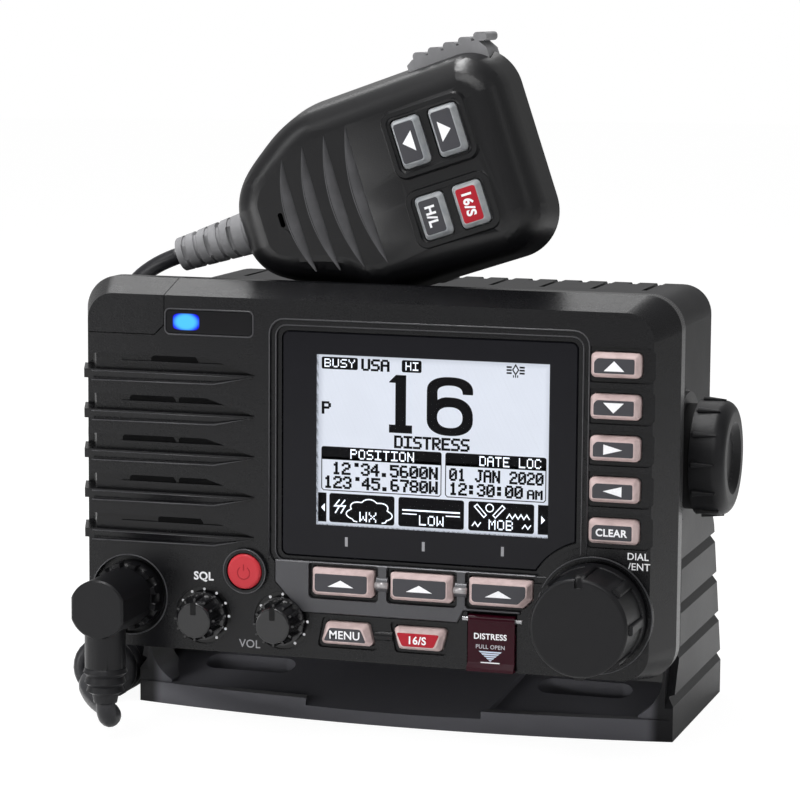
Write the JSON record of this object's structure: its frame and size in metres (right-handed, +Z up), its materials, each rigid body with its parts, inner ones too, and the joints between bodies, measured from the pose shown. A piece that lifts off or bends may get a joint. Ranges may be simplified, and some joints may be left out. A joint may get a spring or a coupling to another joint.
{
  "type": "marine radio transceiver",
  "caption": "Fixed marine radio with lit display, keys, rotary controls and flip cover on a tilting bracket, with a fist microphone and its curly cord.",
  "frame": {"origin": "on the table under the tilt axis, midway between the bracket arms", "axes": "+Z up; -Y out of the front panel, towards the user; +X to the right seen from the front"},
  "size_m": [0.2134, 0.2161, 0.207],
  "materials": {
    "charcoal": "fine textured satin plastic",
    "bracket": "moulded bracket plastic, satin",
    "knob_rubber": "soft rubber",
    "lens": "gloss tinted window",
    "led_window": "translucent dark red window",
    "lcd": "lit display with segments",
    "trim": "satin metallic paint",
    "key": "key rubber with light rim",
    "red_key": "red key rubber",
    "light_key": "light grey rubber",
    "red_cover": "satin red plastic",
    "steel": "stainless steel",
    "brass": "nickel plated brass",
    "board": "green circuit board",
    "cord": "black cord jacket",
    "gasket": "matt black rubber"
  },
  "bodies": {
    "bracket": {"bracket": "bracket", "arm_washers": "knob_rubber", "cord_coil": "cord"},
    "radio": {"front_panel": "charcoal", "corner_cap": "charcoal", "light_window": "led_window", "display_lens": "lens", "lcd_panel": "lcd", "softkey_trim": "trim", "rear_case": "charcoal", "case_gasket": "gasket", "case_screws": "steel", "main_board": "board", "front_board": "board", "speaker": "steel", "mic_socket": "charcoal", "aerial_socket": "brass", "cable_glands": "gasket", "distress_pin": "steel", "control_bodies": "steel", "plug_body": "charcoal", "plug_boot": "cord", "cord_plug_tail": "cord"},
    "clamp_knob_left": {"thumb_knob_left": "knob_rubber", "stud_left": "steel"},
    "clamp_knob_right": {"thumb_knob_right": "knob_rubber", "stud_right": "steel"},
    "dial_stem": {"dial_shaft": "brass"},
    "dial": {"channel_dial": "charcoal"},
    "squelch": {"squelch_knob": "charcoal", "squelch_shaft": "steel"},
    "volume": {"volume_knob": "charcoal", "volume_shaft": "steel"},
    "coupling_ring": {"plug_ring": "charcoal"},
    "microphone": {"mic_front": "charcoal", "mic_back": "charcoal", "mic_screws": "steel", "hanger_stud": "steel", "mic_capsule": "steel", "mic_relief": "light_key", "cord_mic_tail": "cord"},
    "talk_key": {"ptt_button": "light_key"},
    "cover": {"distress_cover": "red_cover"},
    "alert_button": {"distress_button": "red_key"},
    "power": {"power_button": "red_key"},
    "key_up_body": {"key_up": "key"},
    "key_down_body": {"key_down": "key"},
    "key_right_body": {"key_right": "key"},
    "key_left_body": {"key_left": "key"},
    "key_clear_body": {"key_clear": "key"},
    "softkey_left_body": {"softkey_left": "key"},
    "softkey_middle_body": {"softkey_middle": "key"},
    "softkey_right_body": {"softkey_right": "key"},
    "key_menu_body": {"key_menu": "key"},
    "key_channel16_body": {"key_channel16": "red_key"},
    "mic_key_down_body": {"mic_key_down": "key"},
    "mic_key_up_body": {"mic_key_up": "key"},
    "mic_key_level_body": {"mic_key_level": "key"},
    "mic_key_channel16_body": {"mic_key_channel16": "red_key"}
  },
  "joints": [
    {"name": "radio_tilt", "type": "hinge", "parent": "bracket", "child": "radio", "pos_m": [0, 0, 0.084], "axis": [1, 0, 0], "range_deg": [-15, 8], "deforming": ["cord_plug_tail"]},
    {"name": "clamp_turn_left", "type": "hinge", "parent": "radio", "child": "clamp_knob_left", "pos_m": [-0.0905, 0, 0.084], "axis": [1, 0, 0], "continuous": true},
    {"name": "clamp_turn_right", "type": "hinge", "parent": "radio", "child": "clamp_knob_right", "pos_m": [0.0905, 0, 0.084], "axis": [1, 0, 0], "continuous": true},
    {"name": "key_up_press", "type": "slide", "parent": "radio", "child": "key_up_body", "axis": [0, 1, 0], "range_m": [0, 0.001], "stiffness_N_per_m": 300, "springref_m": -0.0005},
    {"name": "key_down_press", "type": "slide", "parent": "radio", "child": "key_down_body", "axis": [0, 1, 0], "range_m": [0, 0.001], "stiffness_N_per_m": 300, "springref_m": -0.0005},
    {"name": "key_right_press", "type": "slide", "parent": "radio", "child": "key_right_body", "axis": [0, 1, 0], "range_m": [0, 0.001], "stiffness_N_per_m": 300, "springref_m": -0.0005},
    {"name": "key_left_press", "type": "slide", "parent": "radio", "child": "key_left_body", "axis": [0, 1, 0], "range_m": [0, 0.001], "stiffness_N_per_m": 300, "springref_m": -0.0005},
    {"name": "key_clear_press", "type": "slide", "parent": "radio", "child": "key_clear_body", "axis": [0, 1, 0], "range_m": [0, 0.001], "stiffness_N_per_m": 300, "springref_m": -0.0005},
    {"name": "softkey_left_press", "type": "slide", "parent": "radio", "child": "softkey_left_body", "axis": [0, 1, 0], "range_m": [0, 0.001], "stiffness_N_per_m": 300, "springref_m": -0.0005},
    {"name": "softkey_middle_press", "type": "slide", "parent": "radio", "child": "softkey_middle_body", "axis": [0, 1, 0], "range_m": [0, 0.001], "stiffness_N_per_m": 300, "springref_m": -0.0005},
    {"name": "softkey_right_press", "type": "slide", "parent": "radio", "child": "softkey_right_body", "axis": [0, 1, 0], "range_m": [0, 0.001], "stiffness_N_per_m": 300, "springref_m": -0.0005},
    {"name": "key_menu_press", "type": "slide", "parent": "radio", "child": "key_menu_body", "axis": [0, 1, 0], "range_m": [0, 0.001], "stiffness_N_per_m": 300, "springref_m": -0.0005},
    {"name": "key_channel16_press", "type": "slide", "parent": "radio", "child": "key_channel16_body", "axis": [0, 1, 0], "range_m": [0, 0.001], "stiffness_N_per_m": 300, "springref_m": -0.0005},
    {"name": "power_press", "type": "slide", "parent": "radio", "child": "power", "axis": [0, 1, 0], "range_m": [0, 0.001], "stiffness_N_per_m": 300, "springref_m": -0.0005},
    {"name": "cover_flip", "type": "hinge", "parent": "radio", "child": "cover", "pos_m": [0.0391, -0.0466, 0.0409], "axis": [-1, 0, 0], "range_deg": [0, 100], "stiffness_Nm_per_rad": 0.005, "springref_deg": -17.19},
    {"name": "alert_press", "type": "slide", "parent": "radio", "child": "alert_button", "axis": [0, 1, 0], "range_m": [0, 0.0015], "stiffness_N_per_m": 300, "springref_m": -0.0005},
    {"name": "dial_press", "type": "slide", "parent": "radio", "child": "dial_stem", "axis": [0, 1, 0], "range_m": [0, 0.0008], "stiffness_N_per_m": 400, "springref_m": -0.0005},
    {"name": "dial_turn", "type": "hinge", "parent": "dial_stem", "child": "dial", "pos_m": [0.0691, -0.06, 0.0444], "axis": [0, 1, 0], "continuous": true},
    {"name": "squelch_turn", "type": "hinge", "parent": "radio", "child": "squelch", "pos_m": [-0.0486, -0.05, 0.0366], "axis": [0, 1, 0], "range_deg": [-150, 150]},
    {"name": "volume_turn", "type": "hinge", "parent": "radio", "child": "volume", "pos_m": [-0.0243, -0.05, 0.0366], "axis": [0, 1, 0], "range_deg": [-150, 150]},
    {"name": "coupling_turn", "type": "hinge", "parent": "radio", "child": "coupling_ring", "pos_m": [-0.072, -0.05, 0.0412], "axis": [0, 1, 0], "range_deg": [0, 90]},
    {"name": "mic_lift", "type": "slide", "parent": "radio", "child": "microphone", "axis": [0, 0, 1], "range_m": [0, 0.06], "deforming": ["cord_mic_tail"]},
    {"name": "talk_press", "type": "slide", "parent": "microphone", "child": "talk_key", "axis": [0.3338, 0, -0.9426], "range_m": [0, 0.001], "stiffness_N_per_m": 300, "springref_m": -0.0005},
    {"name": "mic_key_down_press", "type": "slide", "parent": "microphone", "child": "mic_key_down_body", "axis": [0, 1, 0], "range_m": [0, 0.0008], "stiffness_N_per_m": 300, "springref_m": -0.0005},
    {"name": "mic_key_up_press", "type": "slide", "parent": "microphone", "child": "mic_key_up_body", "axis": [0, 1, 0], "range_m": [0, 0.0008], "stiffness_N_per_m": 300, "springref_m": -0.0005},
    {"name": "mic_key_level_press", "type": "slide", "parent": "microphone", "child": "mic_key_level_body", "axis": [0, 1, 0], "range_m": [0, 0.0008], "stiffness_N_per_m": 300, "springref_m": -0.0005},
    {"name": "mic_key_channel16_press", "type": "slide", "parent": "microphone", "child": "mic_key_channel16_body", "axis": [0, 1, 0], "range_m": [0, 0.0008], "stiffness_N_per_m": 300, "springref_m": -0.0005}
  ]
}
